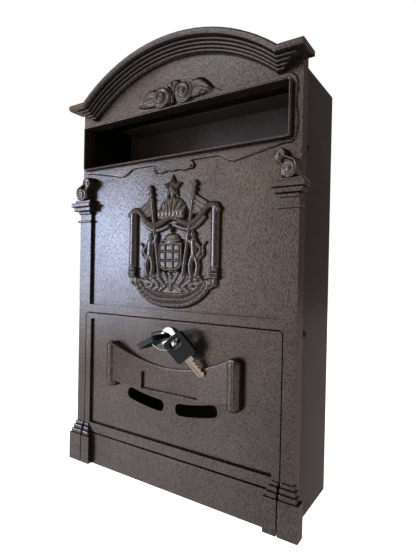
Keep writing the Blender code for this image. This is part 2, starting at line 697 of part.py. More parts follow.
def make_lock(chrome, zinc, door):
    """Cam lock: threaded body, nut, plug, cam and the screw that holds the cam."""
    centre = (0, -FRONT_DEPTH, LOCK_Z)
    forward = (0, -1, 0)
    seat = DOOR_PANEL_PROUD + GAP
    back = -14.0
    body = turned([(0, 4.0), (8.6, 4.0), (9.6, 3.5), (LOCK_FACE_RADIUS, 2.6),
                   (LOCK_FACE_RADIUS, seat), (LOCK_BARREL_RADIUS, seat),
                   (LOCK_BARREL_RADIUS, back), (0, back)], 40, centre, forward)
    cut(body, cylinder(PLUG_RADIUS + GAP, centre, forward, -20, 20, 32))
    body = finish(body, "lock_body", chrome, centre)

    nut = make_hex_nut(20.0, LOCK_BARREL_RADIUS + GAP, centre, -6.8, DOOR_PANEL_BACK - GAP)
    nut = finish(nut, "lock_nut", zinc, centre)

    tail = back - 0.5
    square = 3.0
    plug = cylinder(PLUG_RADIUS, centre, forward, tail, 3.6, 32)
    stub = block(-square, square, tail + 1, tail - 3.4, LOCK_Z - square, LOCK_Z + square)
    keyway = block(-KEY_BLADE_WIDTH / 2 - GAP, KEY_BLADE_WIDTH / 2 + GAP, 10, -12.5,
                   -KEY_BLADE_THICKNESS / 2 - GAP, KEY_BLADE_THICKNESS / 2 + GAP)
    roll = Matrix.Rotation(-KEY_ROLL, 4, "Y")
    keyway.data.transform(Matrix.Translation((0, 0, LOCK_Z * MM)) @ roll)
    join(plug, stub)
    cut(plug, keyway, cylinder(1.8, centre, forward, tail - 9, tail + 0.8, 16))
    plug = finish(plug, "lock_plug", chrome, centre)

    cam_front = tail - GAP
    cam_back = cam_front - 2.0
    cam = prism(arc(0, LOCK_Z, 8, 60, 300, 12) + arc(22, LOCK_Z - 2, 5, -90, 0, 4)
                + arc(22, LOCK_Z + 2, 5, 0, 90, 4), cam_front, cam_back)
    hole = square + GAP
    cut(cam, block(-hole, hole, cam_front + 5, cam_back - 5, LOCK_Z - hole, LOCK_Z + hole))
    cam = finish(cam, "lock_cam", zinc, centre)

    screw_seat = (0, -FRONT_DEPTH - tail + 3.4 + GAP, LOCK_Z)
    screw = turned(domed_screw(4.6, 2.0, 1.5, 3.3), 20, screw_seat, (0, 1, 0))
    screw = finish(screw, "cam_screw", zinc, centre)
    for item in (body, nut, plug):
        fasten(item, door)
    fasten(cam, plug)
    fasten(screw, plug)
    return plug


def key_solids(blade_length):
    """Head and blade of a key along +Z, flat on the XZ plane, with the bow at z = 0."""
    depth = FRONT_DEPTH * MM
    half = KEY_HEAD_WIDTH / 2
    thick = KEY_HEAD_THICKNESS / 2
    head = prism(rounded_rectangle(-half, half, 0, KEY_HEAD_LENGTH, 2.5, 3), thick, -thick)
    hole = prism(rounded_rectangle(-KEY_HOLE_HALF_WIDTH, KEY_HOLE_HALF_WIDTH,
                                   KEY_HOLE_OFFSET - KEY_HOLE_RADIUS,
                                   KEY_HOLE_OFFSET + KEY_HOLE_RADIUS, KEY_HOLE_RADIUS - 0.01),
                 9, -9)
    slit = block(-KEY_BLADE_WIDTH / 2 - GAP, KEY_BLADE_WIDTH / 2 + GAP,
                 KEY_BLADE_THICKNESS / 2 + GAP, -KEY_BLADE_THICKNESS / 2 - GAP,
                 KEY_HEAD_LENGTH - 8 - GAP, KEY_HEAD_LENGTH + 5)
    cut(head, hole, slit)
    head = bake(head)
    side = KEY_BLADE_WIDTH / 2
    start = KEY_HEAD_LENGTH - 8
    end = KEY_HEAD_LENGTH + blade_length
    peak = side - 1.0
    valley = side - 2.6
    teeth = [(side, start), (side, end - 16.5)]
    for i in range(4):
        z = end - 15.6 + i * 3.6
        teeth += [(valley, z), (valley, z + 0.8), (peak, z + 2.0), (peak, z + 2.5)]
    outline = teeth + [(valley, end), (-side + 2.4, end), (-side, end - 2.4), (-side, start)]
    face = KEY_BLADE_THICKNESS / 2
    blade = prism(outline, face, -face)
    groove_start = KEY_HEAD_LENGTH + 3
    for proud0, proud1 in ((face + 1, face - 0.5), (0.5 - face, -face - 1)):
        cut(blade, block(-2.2, -0.8, proud0, proud1, groove_start, end + 5))
    blade = bake(blade)
    for solid in (head, blade):
        solid.data.transform(Matrix.Translation((0, depth, 0)))
    return head, blade


def axes_matrix(origin, x_axis, z_axis):
    """Placement with the given local x and z directions."""
    z_dir = Vector(z_axis).normalized()
    x_dir = Vector(x_axis)
    x_dir = (x_dir - x_dir.dot(z_dir) * z_dir).normalized()
    y_dir = z_dir.cross(x_dir)
    turn = Matrix((x_dir, y_dir, z_dir)).transposed().to_4x4()
    return Matrix.Translation(Vector(origin) * MM) @ turn


def proud_point(x, proud, z):
    """A point given by its height proud of the casting."""
    return Vector((x, -FRONT_DEPTH - proud, z))


def nearest_on_ring(point):
    """Point of the ring's wire that is nearest to a given point."""
    centre = proud_point(*RING_CENTRE)
    normal = Vector(RING_NORMAL).normalized()
    offset = Vector(point) - centre
    return centre + (offset - normal * offset.dot(normal)).normalized() * RING_RADIUS


def make_ring(wire, origin):
    """Closed wire ring through the bows of both keys."""
    normal = Vector(RING_NORMAL).normalized()
    across = normal.cross((0, 0, 1)).normalized()
    lean = normal.cross(across)
    curve = bpy.data.curves.new("key_ring", "CURVE")
    curve.dimensions = "3D"
    curve.bevel_depth = RING_WIRE_RADIUS * MM
    curve.bevel_resolution = 2
    spline = curve.splines.new("POLY")
    turns = 32
    spline.points.add(turns - 1)
    for i, knot in enumerate(spline.points):
        angle = math.tau * i / turns
        spot = across * math.cos(angle) + lean * math.sin(angle)
        knot.co = (*((proud_point(*RING_CENTRE) + spot * RING_RADIUS) * MM), 1)
    spline.use_cyclic_u = True
    return finish(bake(new_object("key_ring", curve, CUTTERS)), "key_ring", wire, origin)


def make_keys(plastic, metal, wire, plug):
    """One key in the lock and a spare that hangs from it on a ring."""
    head, blade = key_solids(KEY_BOW_PROUD - KEY_HEAD_LENGTH + 6.0)
    bow = proud_point(0, KEY_BOW_PROUD, LOCK_Z)
    flat = (math.cos(KEY_ROLL), 0, math.sin(KEY_ROLL))
    for solid in (head, blade):
        solid.data.transform(axes_matrix(bow, flat, (0, 1, 0)))
    key_1_head = finish(head, "key_1_head", plastic, bow)
    key_1_blade = finish(blade, "key_1_blade", metal, bow)
    hook = nearest_on_ring(bow + Vector((0, KEY_HOLE_OFFSET, 0)))
    ring = make_ring(wire, hook)

    head, blade = key_solids(20.0)
    spare_bow = proud_point(*SPARE_BOW)
    along = Vector(SPARE_ALONG).normalized()
    place = axes_matrix(spare_bow, Vector(SPARE_FACING).cross(along), along)
    for solid in (head, blade):
        solid.data.transform(place)
    hang = nearest_on_ring(spare_bow + along * KEY_HOLE_OFFSET)
    key_2_head = finish(head, "key_2_head", plastic, hang)
    key_2_blade = finish(blade, "key_2_blade", metal, hang)
    fasten(key_1_head, plug)
    fasten(key_1_blade, key_1_head)
    fasten(ring, key_1_head)
    fasten(key_2_head, ring)
    fasten(key_2_blade, key_2_head)


clear_scene()
MODEL = make_collection("wall_mailbox")
CUTTERS = make_collection("cutters")


def main():
    hammered = material("hammered_bronze_paint", BRONZE, 0.42, 0.35)
    chrome = material("chrome", CHROME, 0.12, 1.0)
    zinc = material("zinc_plated_steel", ZINC, 0.35, 1.0)
    plastic = material("black_plastic", BLACK_PLASTIC, 0.4, 0.0)
    key_metal = material("nickel_brass", NICKEL_BRASS, 0.3, 1.0)
    make_back_panel(hammered)
    make_body_shell(hammered)
    frame = make_front_frame(hammered)
    make_slot_surround(hammered)
    make_crest(hammered)
    make_side_screws(hammered)
    make_crest_nuts(zinc)
    make_hinge_pins(zinc)
    door = make_door(hammered)
    fasten(door, frame)
    banner = make_banner(hammered)
    fasten(banner, door)
    make_banner_rivets(zinc, door)
    plug = make_lock(chrome, zinc, door)
    make_keys(plastic, key_metal, chrome, plug)


main()
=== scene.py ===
"""Visual model of a wall mounted mailbox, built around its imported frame."""

import math

import bmesh
import bpy
import numpy as np
from bpy.props import FloatProperty, FloatVectorProperty, PointerProperty
from mathutils import Matrix, Vector


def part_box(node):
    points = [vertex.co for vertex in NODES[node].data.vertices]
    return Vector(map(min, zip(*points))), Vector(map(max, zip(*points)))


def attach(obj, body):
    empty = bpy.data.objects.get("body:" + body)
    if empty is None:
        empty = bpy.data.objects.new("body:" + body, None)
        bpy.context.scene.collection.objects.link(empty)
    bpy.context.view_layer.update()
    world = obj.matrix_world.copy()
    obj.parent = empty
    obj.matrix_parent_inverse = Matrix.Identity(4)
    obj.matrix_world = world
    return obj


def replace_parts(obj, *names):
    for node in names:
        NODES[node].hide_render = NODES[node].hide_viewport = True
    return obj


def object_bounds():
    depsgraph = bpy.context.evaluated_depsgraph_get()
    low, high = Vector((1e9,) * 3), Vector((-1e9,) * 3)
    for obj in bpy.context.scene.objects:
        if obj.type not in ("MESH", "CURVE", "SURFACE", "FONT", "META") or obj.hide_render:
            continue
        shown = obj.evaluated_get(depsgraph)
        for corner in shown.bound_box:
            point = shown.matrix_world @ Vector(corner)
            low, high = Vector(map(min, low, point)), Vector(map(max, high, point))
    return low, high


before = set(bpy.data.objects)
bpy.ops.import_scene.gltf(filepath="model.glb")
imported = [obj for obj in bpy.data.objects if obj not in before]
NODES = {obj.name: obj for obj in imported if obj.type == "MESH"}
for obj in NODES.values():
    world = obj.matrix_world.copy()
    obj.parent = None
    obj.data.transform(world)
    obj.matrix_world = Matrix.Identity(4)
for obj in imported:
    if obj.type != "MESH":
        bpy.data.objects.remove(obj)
CAD_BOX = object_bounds()

bl_info = {
    "name": "Wall Mailbox",
    "version": (1, 0, 0),
    "blender": (4, 5, 0),
    "location": "View3D > Sidebar > Mailbox",
    "description": "Builds a cast-front wall mailbox with hammered bronze paint",
    "category": "Add Mesh",
}

MM = 0.001

# Millimetres from here on. Proud is how far something stands out from the front's flat face.
FRONT_DEPTH = 80.0
COLLAR_HALF_WIDTH = 113.5
COLLAR_LOW = 122.5
COLLAR_HIGH = 166.0
STAR_Z = 95.2
STAR_REACH = 11.0
STAR_NOTCH = 5.6
POLE_TOP = (25.6, 97)
POLE_FOOT = (13.5, 14)
DRAPE_X = 46.9
RIBBON_HALF_LENGTH = 71.5
RIBBON_SEAT = 0.85
ROLL_X = 69.3
ROLL_PROUD = 3.2
ROLL_RADIUS = 6.8
ROLL_LOW = -97.0
ROLL_HIGH = -52.0
ROLL_DOME = 5.0
ROLL_GROOVE_BELOW_TOP = 25.5

# Edges steeper than this stay sharp, and edges steeper than the next are rounded.
SHARP_EDGE = math.radians(32)
ROUNDED_EDGE = math.radians(40)

# Metres: the stage
BACKDROP = (-0.9, 0.43, 0.0)
FLOOR_REACH = 6.0
FLOOR_DROP = 0.35
LIGHTS = (
    ("window", (-1.17, -1.11, 0.15), (0.3, 0.5), 15, "#a2c6ff"),
    ("high_window", (-0.75, -1.2, 1.15), (0.5, 0.4), 3.5, "#a9caff"),
    ("left_softbox", (-1.2, -1.4, 0.5), (1.8, 1.8), 17, "#fdfbf6"),
    ("top_softbox", (-0.2, -0.7, 1.4), (1.0, 1.0), 3, "#ffffff"),
    ("right_softbox", (1.5, -0.9, 0.3), (1.0, 1.4), 1.6, "#fff4ea"),
)
LIGHT_TARGET = (0, -0.08, 0.02)
CAMERA_PLACE = (0.2352, -0.3832, 0.0175)
CAMERA_YAW = math.radians(-32.883)
CAMERA_PITCH = math.radians(-0.562)
CAMERA_TILT = math.radians(1.131)
CAMERA_LENS = 27.14


def linear(hex_colour):
    """Linear RGB of an sRGB hex colour."""
    parts = [int(hex_colour[i:i + 2], 16) / 255 for i in (1, 3, 5)]
    return tuple(p / 12.92 if p <= 0.04045 else ((p + 0.055) / 1.055) ** 2.4 for p in parts)


class MailboxSizes(bpy.types.PropertyGroup):
    relief_step: FloatProperty(
        name="Relief step", description="Grid spacing of the cast reliefs",
        default=0.45 * MM, min=0.2 * MM, max=2.0 * MM, unit="LENGTH", precision=5)
    hammer_cell: FloatProperty(
        name="Hammer cell", description="Width of one dimple of the hammered paint",
        default=1.35 * MM, min=0.5 * MM, max=6.0 * MM, unit="LENGTH", precision=5)
    hammer_depth: FloatProperty(
        name="Hammer depth", description="Depth of the dimples",
        default=0.05 * MM, min=0.0, max=1.0 * MM, unit="LENGTH", precision=5)
    edge_round: FloatProperty(
        name="Edge rounding", description="Radius that paint and casting give an edge",
        default=0.45 * MM, min=0.0, max=2.0 * MM, unit="LENGTH", precision=5)


class MailboxColours(bpy.types.PropertyGroup):
    paint_high: FloatVectorProperty(
        name="Paint on the dimples", description="Bronze flake that shows on raised paint",
        subtype="COLOR", default=linear("#574e47"), min=0, max=1)
    paint_low: FloatVectorProperty(
        name="Paint in the veins", description="Dark base between the flakes",
        subtype="COLOR", default=linear("#39322d"), min=0, max=1)
    plastic: FloatVectorProperty(
        name="Key bow", description="Colour of the moulded key bows",
        subtype="COLOR", default=linear("#09090b"), min=0, max=1)
    floor: FloatVectorProperty(
        name="Floor", description="Colour of the floor",
        subtype="COLOR", default=linear("#f6f6f6"), min=0, max=1)


# Materials

def node(tree, kind, settings=(), **inputs):
    """Add a shader node with its settings, and its inputs as values or as sockets to link."""
    made = tree.nodes.new(kind)
    for key, value in dict(settings).items():
        setattr(made, key, value)
    for key, value in inputs.items():
        socket = made.inputs[key.replace("_", " ")]
        if isinstance(value, bpy.types.NodeSocket):
            tree.links.new(value, socket)
        else:
            socket.default_value = value
    return made


def new_material(name):
    """A material with its node tree and its shader."""
    made = bpy.data.materials.new(name)
    made.use_nodes = True
    return made, made.node_tree, made.node_tree.nodes["Principled BSDF"]


def ramp(tree, factor, *stops):
    """A colour ramp through (position, colour) stops."""
    made = node(tree, "ShaderNodeValToRGB", Fac=factor)
    elements = made.color_ramp.elements
    while len(elements) < len(stops):
        elements.new(0.5)
    for element, (position, colour) in zip(elements, stops):
        element.position = position
        element.color = (*colour[:3], 1)
    return made.outputs["Color"]


def hammered_paint(name, gloss, painted_shading_gain=1.0, dimple=1.0, flake=0.85):
    """Silicone hammer finish: leafing flake that shrinks into dimples with dark veins between."""
    sizes = bpy.context.scene.mailbox_sizes
    colours = bpy.context.scene.mailbox_colours
    drift_grain, drift_reach, fine_grain, patch_grain = 4.0 * MM, 0.9 * MM, 0.6 * MM, 45 * MM
    # The dimples are drawn deeper than they are, so that they show.
    bump_gain = 2.4
    material, tree, shader = new_material(name)
    place = node(tree, "ShaderNodeTexCoord").outputs["Object"]
    # Dimples flow into each other, so a coarse noise bends the cells.
    drift = node(tree, "ShaderNodeTexNoise", Vector=place, Scale=1 / drift_grain, Detail=1.0)
    bent = node(tree, "ShaderNodeVectorMath", {"operation": "MULTIPLY_ADD"})
    tree.links.new(drift.outputs["Color"], bent.inputs[0])
    bent.inputs[1].default_value = (drift_reach,) * 3
    tree.links.new(place, bent.inputs[2])
    cells = node(tree, "ShaderNodeTexVoronoi", {"feature": "SMOOTH_F1"},
                 Vector=bent.outputs[0], Scale=1 / sizes.hammer_cell, Smoothness=0.55)
    fine = node(tree, "ShaderNodeTexNoise", Vector=place, Scale=1 / fine_grain, Detail=2.0)
    patches = node(tree, "ShaderNodeTexNoise", Vector=place, Scale=1 / patch_grain, Detail=3.0)
    # The gain over 1 lightens both paint colours as painted highlight or painted light, and under 1
    # darkens them as painted shade.
    high = tuple(c * painted_shading_gain for c in colours.paint_high)
    low = tuple(c * painted_shading_gain for c in colours.paint_low)
    tone = ramp(tree, cells.outputs["Distance"], (0.10, high), (0.75, low))
    worn = ramp(tree, patches.outputs["Fac"], (0.3, (0.82, 0.80, 0.80)), (0.7, (1.1, 1.08, 1.05)))
    blend = node(tree, "ShaderNodeMix", {"data_type": "RGBA", "blend_type": "MULTIPLY"})
    blend.inputs["Factor"].default_value = 1.0
    tree.links.new(tone, blend.inputs["A"])
    tree.links.new(worn, blend.inputs["B"])
    tree.links.new(blend.outputs["Result"], shader.inputs["Base Color"])
    rough = node(tree, "ShaderNodeMapRange", Value=fine.outputs["Fac"], To_Min=gloss - 0.06,
                 To_Max=gloss + 0.10)
    tree.links.new(rough.outputs["Result"], shader.inputs["Roughness"])
    shader.inputs["Metallic"].default_value = flake
    shader.inputs["Specular Tint"].default_value = (0.42, 0.34, 0.30, 1)
    shader.inputs["Coat Weight"].default_value = 0.12
    shader.inputs["Coat Roughness"].default_value = 0.22
    relief = node(tree, "ShaderNodeMath", {"operation": "MULTIPLY_ADD"})
    tree.links.new(fine.outputs["Fac"], relief.inputs[0])
    relief.inputs[1].default_value = 0.18
    tree.links.new(cells.outputs["Distance"], relief.inputs[2])
    bump = node(tree, "ShaderNodeBump", {"invert": True}, Strength=0.9,
                Distance=sizes.hammer_depth * dimple * bump_gain, Height=relief.outputs[0])
    tree.links.new(bump.outputs["Normal"], shader.inputs["Normal"])
    tree.links.new(bump.outputs["Normal"], shader.inputs["Coat Normal"])
    return material


def plated_metal(name, colour, roughness, grain_mm, streak=(1, 1, 1)):
    """Plated or polished metal with faint grain, stretched along streak."""
    grain_depth = 0.03 * MM
    material, tree, shader = new_material(name)
    place = node(tree, "ShaderNodeTexCoord").outputs["Object"]
    stretched = node(tree, "ShaderNodeMapping", Vector=place, Scale=streak)
    grain = node(tree, "ShaderNodeTexNoise", Vector=stretched.outputs[0],
                 Scale=1 / (grain_mm * MM), Detail=4.0)
    base = linear(colour)
    tone = ramp(tree, grain.outputs["Fac"], (0.3, [c * 0.86 for c in base]), (0.7, base))
    tree.links.new(tone, shader.inputs["Base Color"])
    rough = node(tree, "ShaderNodeMapRange", Value=grain.outputs["Fac"],
                 To_Min=roughness * 0.7, To_Max=roughness * 1.3)
    tree.links.new(rough.outputs["Result"], shader.inputs["Roughness"])
    shader.inputs["Metallic"].default_value = 1.0
    bump = node(tree, "ShaderNodeBump", Strength=0.12, Distance=grain_depth,
                Height=grain.outputs["Fac"])
    tree.links.new(bump.outputs["Normal"], shader.inputs["Normal"])
    return material


def moulded_plastic(name):
    """Spark-eroded mould texture on black ABS, half gloss."""
    grit_width, grit_depth = 0.35 * MM, 0.05 * MM
    material, tree, shader = new_material(name)
    place = node(tree, "ShaderNodeTexCoord").outputs["Object"]
    grit = node(tree, "ShaderNodeTexNoise", Vector=place, Scale=1 / grit_width, Detail=2.0)
    base = tuple(bpy.context.scene.mailbox_colours.plastic)
    tone = ramp(tree, grit.outputs["Fac"], (0.3, [c * 0.7 for c in base]), (0.7, base))
    tree.links.new(tone, shader.inputs["Base Color"])
    shader.inputs["Roughness"].default_value = 0.45
    shader.inputs["Specular IOR Level"].default_value = 0.2
    shader.inputs["IOR"].default_value = 1.54
    bump = node(tree, "ShaderNodeBump", Strength=0.25, Distance=grit_depth,
                Height=grit.outputs["Fac"])
    tree.links.new(bump.outputs["Normal"], shader.inputs["Normal"])
    return material


MATERIALS = {}


def finish_of(kind):
    """One of the object's finishes, made when it is first asked for."""
    if kind not in MATERIALS:
        # Cast paint is glossy and dimpled. Paint on the reliefs is glossier, and its lighter tint is
        # a painted highlight. Paint on the sheet is duller, and its darker tint is painted shade on
        # the box sides. The inside has a thin, less metallic coat, and its lighter tint is painted
        # light falling in through the slot. Chrome mirrors, zinc is satin, nickel silver is warm and
        # brushed, spring wire is bright, and ABS is black.
        makers = {
            "cast_paint": lambda: hammered_paint("hammered_paint_on_casting", 0.24),
            "relief_paint_lightened_as_highlight": lambda: hammered_paint("hammered_paint_on_relief_with_painted_highlight", 0.20, 1.25, 0.4),
            "inner_paint_lightened_as_lit": lambda: hammered_paint("thin_bronze_coat_inside_with_painted_light", 0.5, 1.5, 0.5, 0.25),
            "sheet_paint_darkened_as_shade": lambda: hammered_paint("hammered_paint_on_sheet_with_painted_shade", 0.42, 0.45, 0.6),
            "chrome": lambda: plated_metal("chrome_plated_zinc", "#d9dadd", 0.10, 3.0),
            "zinc": lambda: plated_metal("zinc_plated_steel", "#b4b6ba", 0.32, 1.2),
            "nickel_silver": lambda: plated_metal("nickel_silver_blank", "#a08c78", 0.30, 0.8,
                                                  (1, 1, 0.15)),
            "spring_steel": lambda: plated_metal("nickel_plated_wire", "#c4c2c0", 0.16, 0.7),
            "plastic": lambda: moulded_plastic("moulded_black_abs"),
        }
        MATERIALS[kind] = makers[kind]()
    return MATERIALS[kind]


# Mesh helpers

def smooth_group():
    """Geometry nodes that shade smooth and keep the sharp edges."""
    name = "Smooth by angle"
    if name in bpy.data.node_groups:
        return bpy.data.node_groups[name]
    group = bpy.data.node_groups.new(name, "GeometryNodeTree")
    group.interface.new_socket("Geometry", in_out="INPUT", socket_type="NodeSocketGeometry")
    group.interface.new_socket("Geometry", in_out="OUTPUT", socket_type="NodeSocketGeometry")
    start = group.nodes.new("NodeGroupInput")
    end = group.nodes.new("NodeGroupOutput")
    faces = group.nodes.new("GeometryNodeSetShadeSmooth")
    edges = group.nodes.new("GeometryNodeSetShadeSmooth")
    edges.domain = "EDGE"
    edges.inputs["Shade Smooth"].default_value = False
    angle = group.nodes.new("GeometryNodeInputMeshEdgeAngle")
    test = group.nodes.new("FunctionNodeCompare")
    test.operation = "GREATER_THAN"
    test.inputs["B"].default_value = SHARP_EDGE
    group.links.new(start.outputs[0], faces.inputs["Geometry"])
    group.links.new(faces.outputs[0], edges.inputs["Geometry"])
    group.links.new(angle.outputs["Unsigned Angle"], test.inputs["A"])
    group.links.new(test.outputs["Result"], edges.inputs["Selection"])
    group.links.new(edges.outputs[0], end.inputs[0])
    return group


def smooth(made):
    made.modifiers.new("Smooth", "NODES").node_group = smooth_group()


def dress(name, kind, round_edges=0.0):
    """Give a CAD node its finish, softly rounded edges and smooth shading."""
    part = NODES[name]
    part.data.materials.clear()
    part.data.materials.append(finish_of(kind))
    if round_edges:
        soft = part.modifiers.new("Rounded edges", "BEVEL")
        soft.width = round_edges * MM
        soft.segments = 2
        soft.limit_method = "ANGLE"
        soft.angle_limit = ROUNDED_EDGE
        soft.use_clamp_overlap = True
    smooth(part)
    return part


def new_piece(name, verts, faces, kind, body):
    """A visible piece that rides on a body and takes a finish."""
    mesh = bpy.data.meshes.new(name)
    mesh.from_pydata(verts, [], faces)
    mesh.update()
    made = bpy.data.objects.new(name, mesh)
    bpy.context.scene.collection.objects.link(made)
    mesh.materials.append(finish_of(kind))
    mesh.shade_smooth()
    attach(made, body)
    return made


def bake_modifiers(made):
    """Apply all modifiers of a new piece."""
    bpy.context.view_layer.update()
    evaluated = made.evaluated_get(bpy.context.evaluated_depsgraph_get())
    mesh = bpy.data.meshes.new_from_object(evaluated)
    made.modifiers.clear()
    made.data = mesh


def relief(name, height, x_span, z_span, kind, body, material_slot, floor=-0.25):
    """Cast relief as a fine grid. It shows where its height is over the floor value."""
    step = bpy.context.scene.mailbox_sizes.relief_step / MM
    xs = np.arange(x_span[0], x_span[1] + step, step)
    zs = np.arange(z_span[0], z_span[1] + step, step)
    grid_x, grid_z = np.meshgrid(xs, zs)
    proud = height(grid_x, grid_z)
    shown = proud > floor
    cell = shown[:-1, :-1] | shown[1:, :-1] | shown[:-1, 1:] | shown[1:, 1:]
    proud = np.maximum(proud, floor - 0.1)
    rows, columns = np.nonzero(cell)
    width = len(xs)
    corner = rows * width + columns
    quads = np.stack([corner, corner + 1, corner + width + 1, corner + width], axis=1)
    used, index = np.unique(quads, return_inverse=True)
    verts = np.stack([grid_x.ravel(), -(FRONT_DEPTH + proud.ravel()), grid_z.ravel()], axis=1)
    verts = verts[used] * MM
    faces = index.reshape(quads.shape)
    return new_piece(name, verts.tolist(), faces.tolist(), kind, body)


# Height functions, in millimetres on arrays of x and z

def line_distance(x, z, points):
    """Distance to a polyline and the share of its length at the nearest point."""
    best = np.full(x.shape, 1e9)
    along = np.zeros(x.shape)
    lengths = [math.dist(a, b) for a, b in zip(points, points[1:])]
    total = sum(lengths)
    run = 0.0
    for (x0, z0), (x1, z1), length in zip(points, points[1:], lengths):
        share = ((x - x0) * (x1 - x0) + (z - z0) * (z1 - z0)) / max(length ** 2, 1e-9)
        share = np.clip(share, 0, 1)
        gap = np.hypot(x - x0 - share * (x1 - x0), z - z0 - share * (z1 - z0))
        nearer = gap < best
        best = np.where(nearer, gap, best)
        along = np.where(nearer, (run + share * length) / total, along)
        run += length
    return best, along


def inside_distance(x, z, outline):
    """Distance to a closed outline, positive inside."""
    closed = list(outline) + [outline[0]]
    gap, _ = line_distance(x, z, closed)
    inside = np.zeros(x.shape, dtype=bool)
    for (x0, z0), (x1, z1) in zip(closed, closed[1:]):
        crosses = (z0 > z) != (z1 > z)
        rise = z1 - z0 if z1 != z0 else 1e-9
        inside ^= crosses & (x < (x1 - x0) * (z - z0) / rise + x0)
    return np.where(inside, gap, -gap)


def roll(gap, radius, top):
    """Half-round bar of a radius and height over a line distance."""
    share = 1 - (gap / radius) ** 2
    return np.where(share > 0, top * np.sqrt(np.maximum(share, 0)), -1.0)


def pillow(inside, top, soft):
    """Flat field with a rounded shoulder, from an inside distance."""
    share = np.clip(inside / soft, 0, 1)
    return np.where(inside > 0, top * np.sin(share * math.pi / 2) ** 0.7, -1.0)


def bezier(points, count=8):
    """Smooth line through points (Catmull-Rom)."""
    line = []
    padded = [points[0]] + list(points) + [points[-1]]
    for a, b, c, d in zip(padded, padded[1:], padded[2:], padded[3:]):
        for i in range(count):
            t = i / count
            line.append(tuple(0.5 * (2 * q + (r - p) * t + (2 * p - 5 * q + 4 * r - s) * t * t
                                     + (3 * q - p - 3 * r + s) * t ** 3)
                              for p, q, r, s in zip(a, b, c, d)))
    line.append(tuple(points[-1]))
    return line


def spiral(centre, outer, inner, start, turns, count=40):
    """Points of a spiral that winds in from the outer radius."""
    points = []
    for i in range(count + 1):
        share = i / count
        radius = outer * (inner / outer) ** share
        angle = math.radians(start) + turns * math.tau * share
        points.append((centre[0] + radius * math.cos(angle), centre[1] + radius * math.sin(angle)))
    return points


def highest(*layers):
    """Highest of several height fields at each point."""
    out = layers[0]
    for layer in layers[1:]:
        out = np.maximum(out, layer)
    return out


